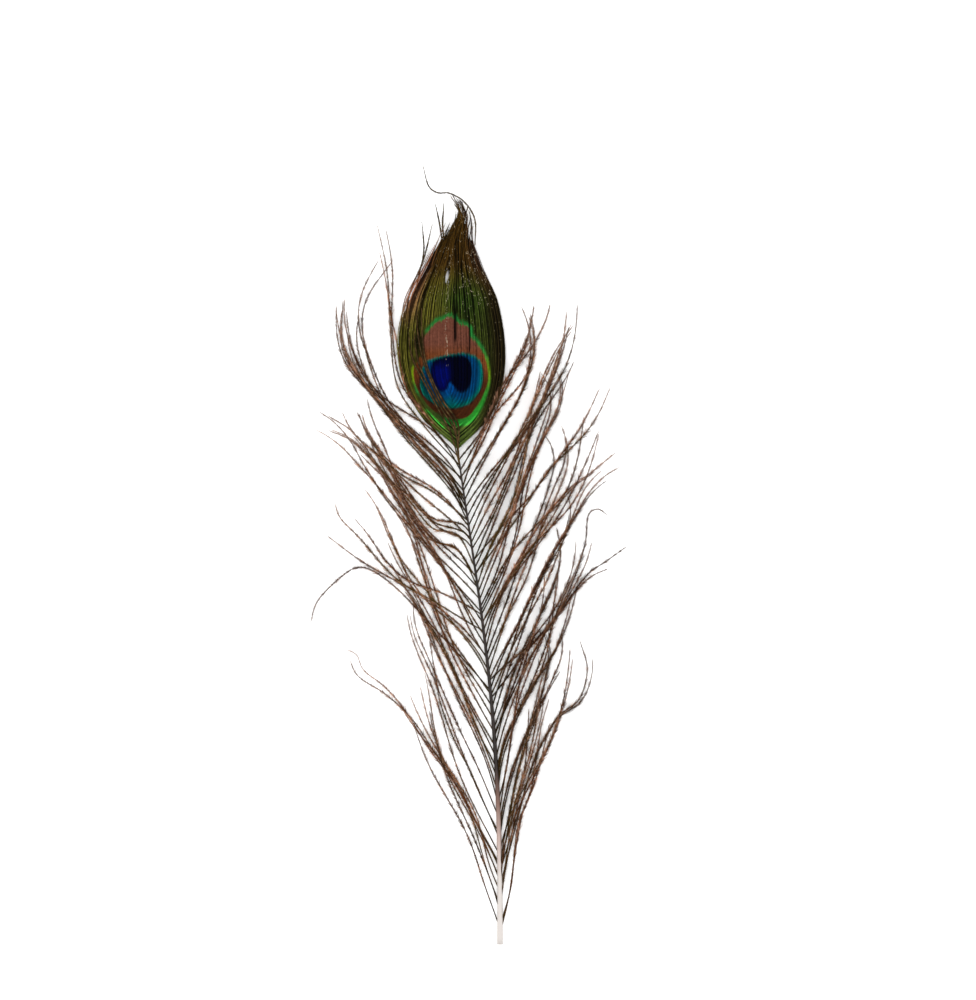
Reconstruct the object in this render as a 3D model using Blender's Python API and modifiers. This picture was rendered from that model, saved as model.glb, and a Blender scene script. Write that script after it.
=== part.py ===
"""A peacock's eye feather, cut through its shaft and lying face up.

The feather grew as one piece, so it is one solid: the shaft, the eye's closed vane with its pleats,
and the locks that the loose barbs hang together in, all joined to the shaft. The plan is drawn from
the middle of the shaft's cut end, with +Y along the shaft and +Z up, and the finished solid is then
moved so that the origin is under the middle of it, on the surface that it lies on.
"""

import math

import bmesh
import bpy
from mathutils import Matrix, Vector

MM = 0.001

# Shaft, in metres
SHAFT_LENGTH = 0.224
SHAFT_LEAN = 0.020
SHAFT_ROOT_RADIUS = 0.00125
SHAFT_END_RADIUS = 0.00034
SHAFT_REST = 0.070
SHAFT_ARCH = 0.0020
SHAFT_ARCH_TOP = 0.150
SHAFT_STATIONS = 12

# The shaft's section for a radius of 1: a flat underside and a round back, by its corners' angles
SHAFT_FLAT_HALF_WIDTH = 0.62
SHAFT_FLAT_DEPTH = 0.8
SHAFT_BACK_ANGLES = (-12, 32, 68, 112, 148, 192)

# Closed vane of the eye, in metres
EYE_BOTTOM = 0.197
EYE_TOP = 0.300
EYE_HALF_WIDTH = 0.0218
EYE_FULLEST = 0.736
EYE_AXIS_X = -0.0163
EYE_AXIS_BOW = -0.0032
VANE_BOTTOM = 0.1986
VANE_TOP = 0.2945
VANE_RAGGED = 0.011
VANE_THICKNESS = 0.0009
VANE_LIFT = 0.0011
VANE_RISE = 0.0012
VANE_CUP = 0.0016
VANE_PLEAT = 0.0003
VANE_PLEATS = 18
VANE_ROWS = 14

# Locks of loose barbs: sizes in metres, angles in degrees
LOCKS_A_SIDE = 19
FIRST_ROOT = 0.006
LAST_ROOT = 0.192
LOCK_LENGTH = 0.098
LOCK_HALF_WIDTH = 0.00100
LOCK_FLATNESS = 0.5
LOCK_STEPS = 11
LOCK_FLOOR = 0.00055
LOCK_LIFT = 0.0010
LOCK_HIGHEST = 0.0046
TIP_HIGHEST = 0.0011
SPREAD_LEFT = (14, 29)
SPREAD_RIGHT = (7, 40)
BELLY = 8
CURL = 4
CURL_ABOVE = 12
CURL_AT_EYE = 34
FLICK = 45
SWAY = 5

# Locks at the tip of the eye, in metres
TUFT_LOCKS = 9
TUFT_STEPS = 7
TUFT_START = 0.262
TUFT_LONGEST = 0.303
TUFT_RAGGED = 0.014
TUFT_FAN = 0.0030
TUFT_RISE = 0.0022

# Locks that lie apart from the rest, as points on the plan in millimetres: x, y and height
TOP_WISP = [(-10, 279, 3.0), (-10, 289, 3.2), (-14, 296, 3.6), (-20, 299.6, 3.6), (-25, 300, 3.2),
            (-28.6, 303, 2.4), (-30.8, 311, 1.6)]

# The same for those that grow from the shaft, after the distance up it that each grows from
ACROSS_THE_EYE = [190, (-20, 204, 3.0), (-27, 218, 3.2), (-31.5, 232, 3.0), (-33, 247, 2.6)]
AROUND_THE_EYE = [185, (-29, 200, 3.0), (-44, 217, 3.2), (-52.5, 236, 2.6), (-54.8, 249, 1.8),
                  (-52, 260, 1.0), (-43, 273, 0.6)]
BESIDE_THE_EYE = [194, (-29, 207, 3.0), (-38.5, 226, 3.2), (-41, 248, 2.6), (-44, 267, 1.4), (-49, 287, 0.6)]
UPPER_LEFT = [173, (-22, 188.6, 3.0), (-37.2, 204.2, 3.2), (-53.6, 224.2, 2.2), (-60, 233.4, 1.6),
              (-62.8, 243.4, 1.0), (-62.8, 257.4, 0.6)]
KINKED_LEFT = [147, (-16.8, 160, 2.6), (-27, 164, 2.4), (-36, 176, 2.0), (-47, 190, 1.4), (-58, 204, 0.8),
               (-68.6, 211, 0.5)]
FORKED_LEFT = [128, (-24, 137, 2.6), (-40.8, 146, 2.4), (-55.6, 162, 1.4), (-63.6, 170, 0.8),
               (-66, 176, 0.5)]
STRAIGHT_LEFT = [114, (-16, 127, 2.8), (-31, 139, 2.8), (-45, 147, 2.0), (-56, 153.4, 1.2), (-69, 163, 0.5)]
DROOPING_LEFT = [101, (-15, 114, 2.6), (-27, 127, 2.6), (-42, 140, 1.8), (-56, 144, 1.2), (-68, 138, 0.8),
                 (-74, 129, 0.6), (-75.6, 120, 0.5)]
LOWER_LEFT = [30, (-13, 58, 2.6), (-27, 77, 2.6), (-37.6, 93.4, 1.8), (-45.6, 102.6, 1.2),
              (-54.4, 109.4, 0.8), (-57.2, 115.4, 0.6), (-61.2, 117.6, 0.5)]
BOWED_RIGHT = [26, (6.5, 50, 2.4), (13, 73, 2.8), (22, 90, 2.0), (31.5, 98, 1.2), (34.8, 110, 0.7),
               (32, 121, 0.5)]
HOOKED_RIGHT = [82, (12, 114, 2.8), (26, 138, 2.4), (33.6, 158, 1.4), (35.2, 171, 0.8), (39.2, 173.8, 0.6),
                (42.8, 171.4, 0.5)]
FORKED_RIGHT = [102, (8, 116, 2.6), (22, 131, 2.6), (34, 147, 1.6), (42.4, 153, 0.8), (50.4, 158.6, 0.5)]
STRAIGHT_RIGHT = [132, (8, 156, 2.8), (17, 170, 2.6), (27.6, 182.2, 1.6), (36, 188.2, 1.0), (46, 196.2, 0.5)]
UPPER_RIGHT = [151, (7.6, 172.6, 3.0), (19.2, 189.4, 2.8), (32.8, 203, 1.8), (39.2, 211.8, 1.2),
               (44, 222.2, 0.6)]
APART = [ACROSS_THE_EYE, AROUND_THE_EYE, BESIDE_THE_EYE, UPPER_LEFT, KINKED_LEFT, FORKED_LEFT, STRAIGHT_LEFT,
         DROOPING_LEFT, LOWER_LEFT, BOWED_RIGHT, HOOKED_RIGHT, FORKED_RIGHT, STRAIGHT_RIGHT, UPPER_RIGHT]
APART_HALF_WIDTH = 0.0008


def ease(low, high, value):
    """0 up to low, 1 from high, and a smooth step between."""
    share = min(1.0, max(0.0, (value - low) / (high - low)))
    return share * share * (3 - 2 * share)


def chance(*keys):
    """A number from 0 to 1 that is always the same for the same keys."""
    mixed = sum(key * step for key, step in zip(keys, (12.9898, 78.233, 37.719)))
    return math.sin(mixed + 4.1) * 43758.5453 % 1.0


def shaft_radius(y):
    left = 1 - min(1.0, y / SHAFT_LENGTH)
    return SHAFT_END_RADIUS + (SHAFT_ROOT_RADIUS - SHAFT_END_RADIUS) * left**1.5


def shaft_point(y):
    """The middle of the shaft at this distance up the feather."""
    share = y / SHAFT_LENGTH
    x = -SHAFT_LEAN * share**3 * (3 - 2 * share)
    arch = ease(SHAFT_REST, SHAFT_ARCH_TOP, y) - 0.45 * ease(SHAFT_ARCH_TOP, SHAFT_LENGTH, y)
    return Vector((x, y, SHAFT_FLAT_DEPTH * shaft_radius(y) + SHAFT_ARCH * arch))


def shaft_angle(y):
    """How far the shaft leans to the right here, in radians."""
    step = 2 * MM
    run = shaft_point(y + step) - shaft_point(y - step)
    return math.atan2(run.x, run.y)


def up_the_eye(y):
    """0 at the bottom of the eye's leaf outline and 1 at its top."""
    return min(1.0, max(0.0, (y - EYE_BOTTOM) / (EYE_TOP - EYE_BOTTOM)))


def eye_half_width(y):
    """Half the width of the closed vane, a leaf that is fullest below its middle."""
    return EYE_HALF_WIDTH * math.sin(math.pi * up_the_eye(y) ** EYE_FULLEST)


def eye_point(across, y):
    """A point of the closed vane: across runs from -1 at its left edge to 1 at its right edge."""
    up = up_the_eye(y)
    x = EYE_AXIS_X + EYE_AXIS_BOW * math.sin(math.pi * up) + across * eye_half_width(y)
    cup = VANE_CUP * across * across * math.sin(math.pi * min(1.0, up + 0.1))
    return Vector((x, y, VANE_LIFT + VANE_RISE * ease(0.25, 0.8, up) + cup))


def new_curve(name, points, radii):
    """A straight-sided curve with closed ends through the points, with a radius at each."""
    curve = bpy.data.curves.new(name, "CURVE")
    curve.dimensions = "3D"
    curve.use_fill_caps = True
    curve.bevel_resolution = 0
    spline = curve.splines.new("POLY")
    spline.points.add(len(points) - 1)
    for end, point, radius in zip(spline.points, points, radii):
        end.co = (*point, 1)
        end.radius = radius
    return curve


def as_solid(curve, pieces, squash=1.0):
    """Puts the curve's closed mesh among the pieces, its heights multiplied by squash."""
    shape = bpy.data.objects.new(curve.name, curve)
    bpy.context.scene.collection.objects.link(shape)
    bpy.context.view_layer.update()
    graph = bpy.context.evaluated_depsgraph_get()
    mesh = bpy.data.meshes.new_from_object(shape.evaluated_get(graph))
    bpy.data.objects.remove(shape)
    solid = bpy.data.objects.new(curve.name, mesh)
    bpy.data.curves.remove(curve)
    mesh.transform(Matrix.Diagonal((1, 1, squash, 1)))
    work = bmesh.new()
    work.from_mesh(mesh)
    bmesh.ops.remove_doubles(work, verts=work.verts, dist=1e-6)
    bmesh.ops.recalc_face_normals(work, faces=work.faces)
    work.to_mesh(mesh)
    work.free()
    add_piece(solid, pieces)
    return solid


def add_piece(solid, pieces):
    """Keeps the solid out of the finished part, as one of the shapes that are joined to make it."""
    pieces.objects.link(solid)
    solid.hide_render = True
    solid.display_type = "WIRE"


def shaft_section():
    """The section as a flat closed curve, which the shaft's curve is given for its bevel."""
    corners = [(-SHAFT_FLAT_HALF_WIDTH, -SHAFT_FLAT_DEPTH), (SHAFT_FLAT_HALF_WIDTH, -SHAFT_FLAT_DEPTH)]
    for angle in SHAFT_BACK_ANGLES:
        turn = math.radians(angle)
        corners.append((math.cos(turn), math.sin(turn)))
    curve = bpy.data.curves.new("shaft_section", "CURVE")
    curve.dimensions = "2D"
    spline = curve.splines.new("POLY")
    spline.points.add(len(corners) - 1)
    for end, corner in zip(spline.points, corners):
        end.co = (*corner, 0, 1)
    spline.use_cyclic_u = True
    section = bpy.data.objects.new("shaft_section", curve)
    section.hide_render = True
    bpy.context.scene.collection.objects.link(section)
    return section


def build_shaft(pieces):
    curved = SHAFT_LENGTH - SHAFT_REST
    stations = [0.0, SHAFT_REST / 3, SHAFT_REST * 2 / 3]
    stations += [SHAFT_REST + curved * step / SHAFT_STATIONS for step in range(SHAFT_STATIONS + 1)]
    curve = new_curve("shaft", [shaft_point(y) for y in stations], [shaft_radius(y) for y in stations])
    curve.bevel_mode = "OBJECT"
    curve.bevel_object = shaft_section()
    return as_solid(curve, pieces)


def build_vane(pieces):
    """The eye's closed vane: a grid in the leaf's outline, pleated, ragged at the top, and solidified."""
    bpy.ops.mesh.primitive_grid_add(x_subdivisions=VANE_PLEATS, y_subdivisions=VANE_ROWS, size=2)
    vane = bpy.context.object
    vane.name = "eye_vane"
    for corner in vane.data.vertices:
        across = corner.co.x
        along = (corner.co.y + 1) / 2
        pleat = round((across + 1) / 2 * VANE_PLEATS)
        top = VANE_TOP - VANE_RAGGED * chance(pleat, 6, 2)
        place = eye_point(across, VANE_BOTTOM + (top - VANE_BOTTOM) * along)
        fold = VANE_PLEAT * eye_half_width(place.y) / EYE_HALF_WIDTH
        place.z += fold if pleat % 2 else -fold
        corner.co = place
    thickness = vane.modifiers.new("thickness", "SOLIDIFY")
    thickness.thickness = VANE_THICKNESS
    thickness.offset = 0
    for owner in list(vane.users_collection):
        owner.objects.unlink(vane)
    add_piece(vane, pieces)


def loose_lock(side, number):
    """The line of a lock of loose barbs: side is -1 or 1, and number counts up from the cut end."""
    up = (number + (0.3 if side < 0 else 0.8)) / LOCKS_A_SIDE
    habit = [2 * chance(side * 3 + 7, number + 1, trait) - 1 for trait in range(6)]
    low, high = SPREAD_LEFT if side < 0 else SPREAD_RIGHT
    spread = low + (high - low) * up + 3 * habit[0]
    belly = BELLY + 4 * habit[1]
    curl = CURL + CURL_ABOVE * up * up + CURL_AT_EYE * ease(0.82, 1.0, up) + 9 * habit[2]
    flick = FLICK * habit[3] ** 3
    sway = SWAY + 4 * habit[4]
    step_length = LOCK_LENGTH * (1 + 0.1 * habit[5] - 0.1 * ease(0.7, 1.0, up)) / LOCK_STEPS
    lift = LOCK_LIFT + (LOCK_HIGHEST - LOCK_LIFT) * chance(number, side + 5, 11) ** 2
    tip_lift = TIP_HIGHEST * ease(0.7, 1.0, chance(number, side + 5, 13))
    root = shaft_point(FIRST_ROOT + (LAST_ROOT - FIRST_ROOT) * up)
    points = [root]
    for step in range(1, LOCK_STEPS + 1):
        middle = (step - 0.5) / LOCK_STEPS
        turn = spread + belly * math.sin(math.pi * middle) - curl * middle**2
        turn += flick * ease(0.75, 1.0, middle) + sway * math.sin(7 * middle + 6 * habit[0])
        heading = shaft_angle(root.y) + side * math.radians(turn)
        place = points[-1] + Vector((math.sin(heading), math.cos(heading), 0)) * step_length
        along = step / LOCK_STEPS
        rest = LOCK_FLOOR + tip_lift * along**3
        place.z = root.z + (rest - root.z) * ease(0, 0.7, along) + lift * math.sin(math.pi * along) ** 1.5
        points.append(place)
    return points


def tuft_lock(number):
    """The line of a lock at the top of the closed vane, which narrows to the feather's tip."""
    across = -0.9 + 1.8 * number / (TUFT_LOCKS - 1)
    end = TUFT_LONGEST - TUFT_RAGGED * chance(number, 2, 5)
    points = []
    for step in range(TUFT_STEPS + 1):
        up = step / TUFT_STEPS
        place = eye_point(across * (1 - 0.2 * up), TUFT_START + (end - TUFT_START) * up)
        place.x += (across * TUFT_FAN + 4 * MM * (chance(number, 8, 3) - 0.5)) * up * up
        place.z += 0.3 * MM + TUFT_RISE * chance(number, 4, 9) * up * up
        points.append(place)
    return points


def smooth_route(marks, steps):
    """Evenly spread points of a smooth curve through the marks."""
    marks = [2 * marks[0] - marks[1], *marks, 2 * marks[-1] - marks[-2]]
    spans = len(marks) - 3
    points = []
    for step in range(steps + 1):
        place = step / steps * spans
        first = min(int(place), spans - 1)
        t = place - first
        a, b, c, d = marks[first : first + 4]
        bend = (2 * b) + (c - a) * t + (2 * a - 5 * b + 4 * c - d) * t * t + (3 * b - a - 3 * c + d) * t**3
        points.append(bend / 2)
    return points


def build_lock(name, points, half_width, pieces):
    """A flat tapering lock along its line, narrow at the root and finest at the tip."""
    shares = [step / (len(points) - 1) for step in range(len(points))]
    widths = [0.42 + 0.58 * math.sin(math.pi * (0.1 + 0.75 * share)) - 0.22 * share**3 for share in shares]
    raised = [Vector((point.x, point.y, point.z / LOCK_FLATNESS)) for point in points]
    curve = new_curve(name, raised, widths)
    curve.bevel_depth = half_width
    as_solid(curve, pieces, LOCK_FLATNESS)


def build_locks(pieces):
    for side, word in ((-1, "left"), (1, "right")):
        for number in range(LOCKS_A_SIDE):
            build_lock(f"{word}_lock_{number + 1:02d}", loose_lock(side, number), LOCK_HALF_WIDTH, pieces)
    for number in range(TUFT_LOCKS):
        build_lock(f"tuft_lock_{number + 1:02d}", tuft_lock(number), LOCK_HALF_WIDTH, pieces)
    lone = [[Vector(mark) * MM for mark in TOP_WISP]]
    lone += [[shaft_point(root * MM), *(Vector(mark) * MM for mark in marks)] for root, *marks in APART]
    for number, marks in enumerate(lone):
        build_lock(f"lone_lock_{number + 1:02d}", smooth_route(marks, LOCK_STEPS), APART_HALF_WIDTH, pieces)


def barb_brown():
    """The copper brown that the loose barbs give the feather from a step away."""
    material = bpy.data.materials.new("barb_brown")
    material.use_nodes = True
    shader = material.node_tree.nodes["Principled BSDF"]
    shader.inputs["Base Color"].default_value = (0.10, 0.065, 0.035, 1)
    shader.inputs["Roughness"].default_value = 0.55
    shader.inputs["Metallic"].default_value = 0.0
    return material


def join_pieces(shaft, pieces):
    """One mesh of the shaft and all that grows from it, over the origin and resting on z = 0."""
    pieces.objects.unlink(shaft)
    bpy.context.scene.collection.objects.link(shaft)
    join = shaft.modifiers.new("all_that_grows_from_it", "BOOLEAN")
    join.operation = "UNION"
    join.operand_type = "COLLECTION"
    join.collection = pieces
    join.solver = "EXACT"
    bpy.context.view_layer.update()
    graph = bpy.context.evaluated_depsgraph_get()
    mesh = bpy.data.meshes.new_from_object(shaft.evaluated_get(graph))
    bpy.data.objects.remove(shaft)
    low = [min(corner.co[axis] for corner in mesh.vertices) for axis in range(3)]
    high = [max(corner.co[axis] for corner in mesh.vertices) for axis in range(3)]
    mesh.transform(Matrix.Translation((-(low[0] + high[0]) / 2, -(low[1] + high[1]) / 2, -low[2])))
    return mesh


def main():
    for old in list(bpy.data.objects):
        bpy.data.objects.remove(old, do_unlink=True)
    pieces = bpy.data.collections.new("pieces_to_join")
    whole = bpy.data.collections.new("peacock_feather")
    pieces.hide_render = True
    bpy.context.scene.collection.children.link(pieces)
    bpy.context.scene.collection.children.link(whole)
    shaft = build_shaft(pieces)
    build_vane(pieces)
    build_locks(pieces)
    feather = bpy.data.objects.new("feather", join_pieces(shaft, pieces))
    feather.data.materials.clear()
    feather.data.materials.append(barb_brown())
    whole.objects.link(feather)


main()
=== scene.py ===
"""A peacock's eye feather, dressed barb by barb over its plain solid.

The plan is drawn as the solid's is: from the middle of the shaft's cut end, with +Y along the shaft.
Every barb is a thin ramus with barbules along both its sides. The barbs of each piece are copies of one
modelled barb, laid along their own lines, and each barbule carries its own colour in the tint attribute.
"""

import math

import bmesh
import bpy
import numpy as np
from bpy.props import FloatProperty, FloatVectorProperty, IntProperty, PointerProperty
from mathutils import Matrix, Vector


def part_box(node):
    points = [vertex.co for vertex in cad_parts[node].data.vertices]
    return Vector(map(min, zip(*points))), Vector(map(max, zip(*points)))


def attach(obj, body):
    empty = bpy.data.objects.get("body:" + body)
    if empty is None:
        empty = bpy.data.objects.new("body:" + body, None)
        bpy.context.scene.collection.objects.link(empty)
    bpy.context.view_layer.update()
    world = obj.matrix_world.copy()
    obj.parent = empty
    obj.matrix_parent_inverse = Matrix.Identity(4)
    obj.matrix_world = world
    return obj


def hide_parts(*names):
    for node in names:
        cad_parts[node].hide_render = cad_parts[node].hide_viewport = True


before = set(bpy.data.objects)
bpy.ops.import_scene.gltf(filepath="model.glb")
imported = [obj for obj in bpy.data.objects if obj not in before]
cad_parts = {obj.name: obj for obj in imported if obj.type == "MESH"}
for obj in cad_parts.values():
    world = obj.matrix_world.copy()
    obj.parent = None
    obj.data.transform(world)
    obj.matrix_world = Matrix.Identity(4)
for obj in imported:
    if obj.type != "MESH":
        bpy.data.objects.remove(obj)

bl_info = {
    "name": "Peacock Feather",
    "version": (1, 0, 0),
    "blender": (4, 5, 0),
    "location": "3D View > Sidebar > Feather",
    "description": "Dresses a peacock feather's solid with its shaft, its eye and each of its barbs",
    "category": "Add Mesh",
}

MM = 0.001
NODE = "feather"

# Shaft, in metres, as in the solid
SHAFT_LENGTH = 0.224
SHAFT_LEAN = 0.020
SHAFT_ROOT_RADIUS = 0.00125
SHAFT_END_RADIUS = 0.00034
SHAFT_REST = 0.070
SHAFT_ARCH = 0.0020
SHAFT_ARCH_TOP = 0.150
SHAFT_FLAT_DEPTH = 0.8

# How far the shaft runs on beyond its length, hidden under the eye's barbs, in metres
SHAFT_OVERRUN = 6 * MM

# How far from the middle of the cut end its pith gives way to horn, in metres, from outside in
PITH_EDGE = (0.00078, 0.00070)

# Closed vane of the eye, in metres, as in the solid
EYE_BOTTOM = 0.197
EYE_TOP = 0.300
EYE_HALF_WIDTH = 0.0218
EYE_FULLEST = 0.736
EYE_AXIS_X = -0.0163
EYE_AXIS_BOW = -0.0032
VANE_LIFT = 0.0011
VANE_RISE = 0.0012
VANE_CUP = 0.0016

# Locks of loose barbs, as in the solid: sizes in metres, angles in degrees
LOCKS_A_SIDE = 19
FIRST_ROOT = 0.006
LAST_ROOT = 0.192
LOCK_LENGTH = 0.098
LOCK_STEPS = 11
LOCK_FLOOR = 0.00055
LOCK_LIFT = 0.0010
LOCK_HIGHEST = 0.0046
TIP_HIGHEST = 0.0011
SPREAD_LEFT = (14, 29)
SPREAD_RIGHT = (7, 40)
BELLY = 8
CURL = 4
CURL_ABOVE = 12
CURL_AT_EYE = 34
FLICK = 45
SWAY = 5

# Barbs that the photograph shows one by one: marks on the plan in millimetres, x, y and height. Most lie as
# in the solid. Those over and beside the eye and the drooping one lie a little off their locks.
TOP_WISP = [(-10, 279, 3.0), (-10, 289, 3.2), (-14, 296, 3.6), (-20, 299.6, 3.6), (-25, 300, 3.2),
            (-28.6, 303, 2.4), (-30.8, 311, 1.6)]

# The two that cross the eye, with the distance up the shaft that each grows from as its root
ACROSS_THE_EYE = [190, (-18.6, 203.8, 3.0), (-23.8, 213.4, 3.4), (-30.4, 225.6, 3.5), (-33.6, 232.9, 3.4),
                  (-35, 240, 3.2), (-35.4, 250, 3.0)]
UP_THE_EYE = [196, (-17.5, 207.6, 3.2), (-22.9, 216.1, 3.5), (-26.7, 223.7, 3.6), (-29.4, 230.6, 3.6),
              (-31.2, 238, 3.5), (-32.2, 248, 3.4), (-32, 258, 3.2)]

# Single fine barbs that stand off the tuft, without a root on the shaft
WISPS = [
    [(-21, 270, 2.6), (-23.4, 283, 3.2), (-24.2, 288, 3.2), (-25.8, 295.4, 2.8)],
    [(-20.5, 272, 2.6), (-22.8, 285, 3.4), (-22.4, 295.8, 3.0)],
    [(-34.5, 255, 2.6), (-32.6, 266, 3.0), (-30.4, 276.6, 3.2), (-31.2, 288.6, 2.8)],
    [(-37.4, 250, 2.4), (-35.8, 260.6, 2.8), (-30.6, 273, 3.2), (-27, 287.4, 3.0)],
    [(-18, 278, 3.0), (-15.6, 285, 3.4), (-12.8, 294.5, 3.0)],
]

# Left locks that bend away to the bunch beside them, by their number from the cut end, with root and marks
BENT_LEFT = {
    15: [161, (-15.5, 164.4, 2.6), (-26, 167.6, 2.6), (-34, 175, 2.4), (-42, 185, 1.8), (-51, 195, 1.2),
         (-60, 203, 0.6)],
    16: [166, (-26, 178.6, 2.8), (-41.6, 189, 2.8), (-50, 196.6, 1.8), (-57, 205, 1.0), (-62, 216, 0.6)],
}

# Bunches that lie apart, from the eye down on the left and from the cut end up on the right: the number of
# barbs in each, and then its root and marks
APART_LEFT = [
    (2, 185, (-29, 200, 3.0), (-44, 217, 3.2), (-52.5, 236, 2.6), (-54.8, 249, 1.8),
     (-52, 260, 1.0), (-43, 273, 0.6)),
    (3, 194, (-30.6, 209, 3.0), (-40.6, 224, 3.2), (-43, 246, 2.6), (-44.6, 267, 1.4),
     (-49, 287, 0.6)),
    (4, 173, (-22, 188.6, 3.0), (-37.2, 204.2, 3.2), (-53.6, 224.2, 2.2), (-60, 233.4, 1.6),
     (-62.8, 243.4, 1.0), (-62.8, 257.4, 0.6)),
    (3, 147, (-16.8, 160, 2.6), (-27, 164, 2.4), (-36, 176, 2.0), (-47, 190, 1.4), (-58, 204, 0.8),
     (-68.6, 211, 0.5)),
    (2, 128, (-24, 137, 2.6), (-40.8, 146, 2.4), (-55.6, 162, 1.4), (-63.6, 170, 0.8),
     (-66, 176, 0.5)),
    (1, 114, (-16, 127, 2.8), (-31, 139, 2.8), (-45, 147, 2.0), (-56, 153.4, 1.2),
     (-69, 163, 0.5)),
    (1, 101, (-15, 114, 2.6), (-27, 127, 2.6), (-40, 141, 2.2), (-50.6, 149, 1.6),
     (-58, 150.2, 1.2), (-66, 144.5, 0.9), (-73.2, 136.6, 0.6), (-75.7, 128.4, 0.5)),
    (2, 30, (-13, 58, 2.6), (-27, 77, 2.6), (-37.6, 93.4, 1.8), (-45.6, 102.6, 1.2),
     (-54.4, 109.4, 0.8), (-57.2, 115.4, 0.6), (-61.2, 117.6, 0.5)),
]
APART_RIGHT = [
    (2, 4, (3.6, 19.8, 1.8), (5.6, 35, 2.4), (8, 50, 2.6), (12, 62, 2.4), (14, 73, 2.0),
     (16.4, 87, 1.4), (19.6, 98, 0.8)),
    (2, 26, (6.5, 50, 2.4), (13, 73, 2.8), (22, 90, 2.0), (31.5, 98, 1.2), (34.8, 110, 0.7),
     (32, 121, 0.5)),
    (1, 82, (12, 114, 2.8), (26, 138, 2.4), (33.6, 158, 1.4), (35.2, 171, 0.8), (39.2, 173.8, 0.6),
     (42.8, 171.4, 0.5)),
    (2, 102, (8, 116, 2.6), (22, 131, 2.6), (34, 147, 1.6), (42.4, 153, 0.8), (50.4, 158.6, 0.5)),
    (2, 132, (8, 156, 2.8), (17, 170, 2.6), (27.6, 182.2, 1.6), (36, 188.2, 1.0),
     (46, 196.2, 0.5)),
    (2, 151, (7.6, 172.6, 3.0), (19.2, 189.4, 2.8), (32.8, 203, 1.8), (39.2, 211.8, 1.2),
     (44, 222.2, 0.6)),
]

# Outlines of the eye's zones on the plan, in millimetres, counterclockwise from the right
PUPIL = [(-11.2, 229), (-12.2, 233), (-15.4, 235.1), (-21.6, 234.7), (-26.2, 233.2), (-27.6, 229.8),
         (-27.2, 226.2), (-25.6, 222.6), (-22.9, 220.5), (-20.9, 222.4), (-19.9, 224.5), (-18.4, 222.6),
         (-16.0, 220.2), (-13.2, 221.4), (-11.6, 224.6)]
IRIS = [(-6.8, 226.8), (-7.2, 231), (-8.4, 233.6), (-10.8, 235.3), (-15.4, 236.2), (-20.8, 235.4),
        (-25.6, 234.3), (-29.6, 232.7), (-31.4, 228.6), (-31.8, 223.4), (-30.8, 219.8), (-27.6, 216.6),
        (-23.2, 214.6), (-18.4, 214.1), (-13.2, 215.4), (-10, 218.2), (-7.6, 222.2)]
BRONZE = [(-4.8, 228.5), (-5.6, 233), (-7.6, 237.4), (-9.8, 240.6), (-12.1, 243.2), (-12.4, 246.2),
          (-15.8, 248.1), (-17.8, 248.6), (-18.2, 250.2), (-20.2, 250.4), (-23.4, 249.4), (-27.4, 246.2),
          (-30.4, 242.2), (-31.0, 236), (-32.6, 233), (-34.4, 229.8), (-34.2, 225.4), (-32.4, 220.6),
          (-29.6, 216.2), (-26.2, 212.8), (-21.6, 210.4), (-17.6, 209.5), (-13.0, 210.6), (-9.2, 214.6),
          (-6.6, 219.6), (-4.9, 224.2)]
RING_CENTRE = (-19.5, 229)
STREAK = np.array([(-29.4, 213.2), (-22.6, 206.2)])

# The seam between the eye's two sides, across the vane, and the splits where its barbs have parted:
# the place on the plan that each split runs up through, its lower and upper end, and its widest gap
SEAM_ACROSS = -0.09
DARK_SPLITS = [(-17.9, 238.5, 252, 1.1), (-12.2, 234, 249, 0.6)]
OPEN_SPLIT = (-21.2, 262, 269, 2.5)

# Radius of an eye barb's ramus at its root, in metres
EYE_RAMUS = 0.00019

# Where the hooked web under the eye's barbs starts and at most ends, in metres, and the hole that it has in
# the open split: its middle on the plan, its half width and half height, in millimetres
WEB_BOTTOM = EYE_BOTTOM + 4 * MM
WEB_TOP = 0.2935
WEB_HOLE = (-21.2, 266.4, 0.75, 3.2)

# How finely the pieces are made
SHAFT_SIDES = 14
SHAFT_RINGS = 90
RAMUS_SIDES = 3
RAMUS_RINGS = 72
LINE_POINTS = 96
OUTLINE_POINTS = 90
WEB_COLUMNS = 72
WEB_ROWS = 170
WEB_THICKNESS = 0.15 * MM
SEED = 7

# No barb stands higher than this, in metres, so that all of them stay inside the solid's box
HIGHEST = 5.7 * MM

# The photograph's frame: its middle on the plan in millimetres, its height in metres, and the lens
PHOTO_CENTRE = (-4.8, 177.4, 0)
PHOTO_HEIGHT = 0.4
CAMERA_LENS = 90
CAMERA_SENSOR = 36

# The stage: half the floor's side in metres, its own glow, and each lamp's place, size and share of light
FLOOR_SIZE = 3
FLOOR_GLOW = 0.25
LAMPS = {"key": ((-0.5, 0.5, 1.3), 1.2, 1.0), "fill": ((0.8, -0.4, 1.1), 1.4, 0.45)}


def ease(low, high, value):
    """0 up to low, 1 from high, and a smooth step between, for numbers and arrays alike."""
    share = np.clip((value - low) / (high - low), 0.0, 1.0)
    return share * share * (3 - 2 * share)


def between(low, full, fading, high, value):
    """0 up to low, 1 from full to fading, and 0 again from high."""
    return ease(low, full, value) * (1 - ease(fading, high, value))


def bell(middle, width, value):
    """1 at the middle, falling off to both sides like a bell of this width."""
    return np.exp(-(((value - middle) / width) ** 2))


def chance(*keys):
    """A number from 0 to 1 that is always the same for the same two or three keys."""
    mixed = sum(key * step for key, step in zip(keys, (12.9898, 78.233, 37.719)))
    return math.sin(mixed + 4.1) * 43758.5453 % 1.0


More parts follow.
